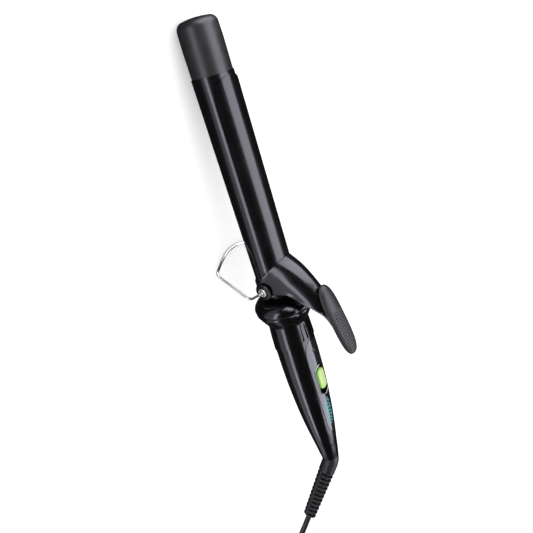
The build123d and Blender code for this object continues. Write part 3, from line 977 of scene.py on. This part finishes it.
def addButton():
    # Plan: a stadium. Height falls from the middle by crown t^2 and rolls over a quarter round at the
    # rim, then drops straight to the foot.
    s = buttonSettings
    rows, low = s["faceRows"], s["footRows"]
    angle = np.linspace(0, 2 * np.pi, s["columns"], endpoint=False)[None, :]
    straight = (s["front"] - s["rear"]) / 2 - s["halfWidth"]
    middle = (s["front"] + s["rear"]) / 2
    t = [np.linspace(0, 1, rows), np.ones(rows + low), np.linspace(1, 0, low)]
    t = np.concatenate(t)[:, None]
    roll = [np.zeros(rows), np.linspace(0, np.pi / 2, rows), np.full(2 * low, np.pi / 2)]
    roll = np.concatenate(roll)[:, None]
    reach = (s["halfWidth"] - s["edge"] * (1 - np.sin(roll))) * t
    ends = straight * t * np.clip(np.cos(angle) / s["endSpread"], -1, 1)
    x = middle + ends + reach * np.cos(angle)
    y = reach * np.sin(angle)
    z = s["top"] - s["crown"] * t**2 - s["edge"] * (1 - np.cos(roll)) + 0 * angle
    z[-2 * low : -low] = np.linspace(z[-2 * low - 1, 0], s["foot"], low)[:, None]
    z[-low:] = s["foot"]
    faces = gridFaces(t.size, s["columns"], True)
    button = meshPiece("slideButton", "switch", "lime", place(np.stack([x, y, z], -1)), faces)
    # Painted shade: the rim share deepens the green towards the rim and over its roll.
    onFace = np.clip((t - s["greenFrom"]) / (1 - s["greenFrom"]), 0, 1) * s["greenShare"]
    onRoll = np.clip(roll / s["greenRoll"], 0, 1) * (1 - s["greenShare"])
    paint(button, "rim", onFace + onRoll + 0 * angle)
    closeUp(button, 0.002)
    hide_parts("switch_button")
    return button


# Radius of the handle along its length, as (x, radius); the same curve as its shell's.
handleOutline = [
    (-203, 8.1),
    (-196, 9.2),
    (-184, 10.7),
    (-170, 12.5),
    (-156, 14.2),
    (-142, 15.6),
    (-128, 16.65),
    (-114, 17.45),
    (-100, 18.0),
    (-88, 18.25),
    (-74, 18.35),
    (-60, 18.2),
    (-30, 18.0),
]


def handleR(x):
    # Straight runs between the outline's corners.
    at, r = np.array(handleOutline, float).T
    return np.interp(x, at, r)


def ribbon(name, body, slotName, x, y, lift, width, mat=None):
    # A flat strip of the given width along the plan curve x, y, laid on the handle's surface raised
    # by lift: z^2 = (r(x) + lift)^2 - y^2.
    slopeX, slopeY = np.gradient(x), np.gradient(y)
    size = np.hypot(slopeX, slopeY)
    sides = np.array([-0.5, 0.5])[None, :] * (width + 0 * x)[:, None]
    px = x[:, None] - (slopeY / size)[:, None] * sides
    py = y[:, None] + (slopeX / size)[:, None] * sides
    pz = np.sqrt((handleR(px) + lift) ** 2 - py**2)
    points = place(np.stack([px, py, pz], -1))
    strip = meshPiece(name, body, slotName, points, gridFaces(len(x), 2), mat=mat)
    closeUp(strip, 0.0005)
    return strip


pivotSettings = dict(
    bossR=7.4,
    bossFrom=18.5,  # across the iron, from its middle
    bossTo=19.35,
    dish=1.0,
    dishDepth=0.2,
    ringR=3.05,
    ringThick=0.85,
    ringFlat=0.8,
    ringAt=20.0,
    bore=2.6,
    sides=72,
)


def turnedPiece(name, body, slotName, outline, side):
    # A closed outline of (radius, y) corners turned about the hinge axis, on one side of the iron.
    radius, y = np.array(outline, float).T[..., None]
    sides = pivotSettings["sides"]
    angle = np.linspace(0, 2 * np.pi, sides, endpoint=False)[None, :]
    points = np.stack([radius * np.cos(angle), side * y + 0 * angle, radius * np.sin(angle)], -1)
    piece = meshPiece(name, body, slotName, place(points), gridFaces(len(radius), sides, True))
    closeUp(piece, 0.002)
    return piece


def addPivot():
    # A shallow boss pressed in each ear with a rolled edge, and in it the bright rim of the hollow
    # rivet: a quarter round and a full ellipse, each turned about the hinge.
    s = pivotSettings
    roll = np.linspace(0, np.pi / 2, 10)
    height = s["bossTo"] - s["bossFrom"]
    edge = [
        (s["bossR"] - height * (1 - np.cos(a)), s["bossFrom"] + height * np.sin(a)) for a in roll
    ]
    foot = (s["bore"], s["bossFrom"])
    dish = [(s["bore"] + s["dish"], s["bossTo"]), (s["bore"], s["bossTo"] - s["dishDepth"])]
    boss = [foot] + edge + dish + [foot]
    turn = np.linspace(0, 2 * np.pi, 25)
    wide, high = s["ringThick"], s["ringThick"] * s["ringFlat"]
    ring = [(s["ringR"] + wide * np.cos(a), s["ringAt"] + high * np.sin(a)) for a in turn]
    for side, label in ((1, "Near"), (-1, "Far")):
        turnedPiece("pivotBoss" + label, "clip", "black_enamel", boss, side)
        turnedPiece("pivotRim" + label, "iron", "chrome", ring, side)


crescentSettings = dict(
    middle=-101.0,
    half=10.0,
    r=5.95,
    width=0.75,
    tip=0.25,  # width at its ends, as a share
    lift=0.62,
    front=(-15, 62),  # degrees
    rear=(176, 246),
    steps=60,
)


def addCrescents():
    # Two printed arcs on the frame round the slide: at its front on one side, at its rear on the
    # other. Their width follows the root of a sine, so that they thin out at their ends.
    s = crescentSettings
    swell = np.sin(np.linspace(0, np.pi, s["steps"])) ** 0.5
    width = s["width"] * (s["tip"] + (1 - s["tip"]) * swell)
    ends = (("slideMarkFront", 1, s["front"]), ("slideMarkRear", -1, s["rear"]))
    for name, end, span in ends:
        angle = np.radians(np.linspace(*span, s["steps"]))
        x = s["middle"] + end * s["half"] + s["r"] * np.cos(angle)
        y = s["r"] * np.sin(angle)
        ribbon(name, "iron", "inlay_black", x, y, s["lift"], width, made["print"])


# Painted shade: a dark line laid where the gap round the control strip would be shaded.
gapShadeSettings = dict(
    outline=[
        (-55.8, 0),
        (-59.2, 4.8),
        (-65.0, 8.0),
        (-76.0, 9.0),
        (-96.0, 8.8),
        (-120.0, 7.7),
        (-142.0, 6.3),
        (-155.0, 5.1),
        (-161.2, 3.0),
        (-163.0, 0),
    ],
    bandEdge=-61.5,  # ahead of it the band covers the strip
    width=0.5,
    lift=0.34,
    steps=240,
)


def addInlayGapShade():
    # Painted shade of the gap round the control strip: a narrow dark line along the curve through its
    # outline, each side its own.
    s = gapShadeSettings
    half = smoothThrough(s["outline"], s["steps"])
    x, y = half[half[:, 0] < s["bandEdge"]].T
    for name, side in (("stripGapShadeNear", 1), ("stripGapShadeFar", -1)):
        # Painted shade: each line is a dark strip raised on the handle, not a cut gap.
        ribbon(name, "iron", "dark_plastic", x, side * y, s["lift"], np.full(len(x), s["width"]))


waveSettings = dict(
    start=-121.0,
    end=-154.0,
    period=8.2,
    swing=2.9,
    line=0.62,
    thinnest=0.35,  # width of a line's ends, as a share
    lift=0.36,
    echoPhase=0.8,  # in half turns
    echoLift=0.03,
    steps=200,
)


def addWaveMark():
    # Two waves y = swing sin(2 pi x / period), not quite half a period apart, that fade out at
    # both ends.
    s = waveSettings
    x = np.linspace(s["start"], s["end"], s["steps"])
    share = (x - s["start"]) / (s["end"] - s["start"])
    fade = np.sqrt(np.clip(np.sin(np.pi * share), 0, 1))
    width = s["line"] * (s["thinnest"] + (1 - s["thinnest"]) * fade)
    echo = (np.pi * s["echoPhase"], s["echoLift"])
    for name, (phase, above) in (("waveMark", (0.0, 0.0)), ("waveMarkEcho", echo)):
        y = s["swing"] * fade * np.sin(2 * np.pi * (x - s["start"]) / s["period"] + phase)
        ribbon(name, "iron", "inlay_black", x, y, s["lift"] + above, width, made["turquoise"])


addCamera()
addStage()
print("curling iron: camera, floor and lamps placed")
dressNodes()
print("curling iron: finishes put on the carried-over nodes")
addCord()
print("curling iron: cord laid")
addLever()
addPad()
addSpring()
addPivot()
addButton()
addCrescents()
addInlayGapShade()
addWaveMark()
print("curling iron: lever, pad, button and printed marks made")
